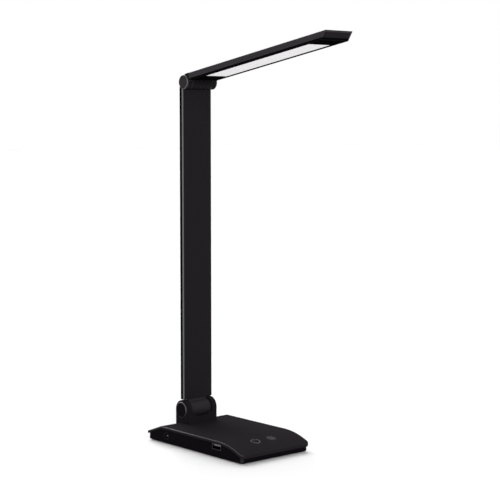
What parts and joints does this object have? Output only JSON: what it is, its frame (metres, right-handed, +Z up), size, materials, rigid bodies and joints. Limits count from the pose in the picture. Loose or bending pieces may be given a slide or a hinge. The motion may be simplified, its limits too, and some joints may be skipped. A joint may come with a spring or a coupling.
{
  "type": "led table lamp",
  "caption": "Slim folding LED table lamp: ballasted base with touch marks and sockets, flat post on a friction hinge, and a thin lit head that folds on the post.",
  "frame": {"origin": "centre of the base's plan, on the underside of its anti-slip pad", "axes": "+Z up along the post, -Y towards the front edge with the touch marks, +X to the lamp's right as its user sees it"},
  "size_m": [0.0896, 0.2332, 0.4089],
  "materials": {
    "pad_rubber": "matte",
    "tray_plastic": "satin",
    "cover_plastic": "satin",
    "steel": "satin",
    "ballast_steel": "matte",
    "circuit_board": "satin",
    "socket_steel": "satin",
    "socket_plastic": "satin",
    "inlet_plastic": "satin",
    "contact_brass": "polished",
    "hinge_metal": "satin",
    "cap_plastic": "satin",
    "washer_plastic": "satin",
    "post_aluminium": "satin",
    "lead_sheath": "matte",
    "head_aluminium": "satin",
    "frame_plastic": "satin",
    "diffuser_plastic": "satin",
    "guide_acrylic": "polished",
    "reflector_film": "satin",
    "led_board": "satin",
    "led_chip": "satin"
  },
  "bodies": {
    "base": {"base_pad": "pad_rubber", "base_tray": "tray_plastic", "base_cover": "cover_plastic", "base_screws": "steel", "ballast_plate": "ballast_steel", "control_board": "circuit_board", "board_screws": "steel", "usb_shell": "socket_steel", "usb_tongue": "socket_plastic", "dc_inlet": "inlet_plastic", "dc_inlet_pin": "contact_brass", "touch_electrodes": "contact_brass", "hinge_yoke": "hinge_metal", "yoke_screws": "steel", "lower_shaft": "steel", "lower_spring": "steel", "lower_nut": "steel", "lower_caps": "cap_plastic"},
    "post": {"lower_knuckle": "hinge_metal", "lower_washers": "washer_plastic", "post_tube": "post_aluminium", "post_screws": "steel", "post_lead": "lead_sheath", "upper_knuckle": "hinge_metal", "upper_washers": "washer_plastic", "upper_shaft": "steel", "upper_caps": "cap_plastic"},
    "head": {"head_bracket": "hinge_metal", "bracket_screws": "steel", "head_housing": "head_aluminium", "head_frame": "frame_plastic", "diffuser": "diffuser_plastic", "light_guide": "guide_acrylic", "reflector": "reflector_film", "led_boards": "led_board", "leds": "led_chip", "head_end_cap": "frame_plastic"}
  },
  "joints": [
    {"name": "lower_tilt", "type": "hinge", "parent": "base", "child": "post", "pos_m": [0, 0.0498, 0.0312], "axis": [1, 0, 0], "range_deg": [-30, 90]},
    {"name": "head_fold", "type": "hinge", "parent": "post", "child": "head", "pos_m": [0, 0.0453, 0.3668], "axis": [1, 0, 0], "range_deg": [-80, 99]}
  ]
}
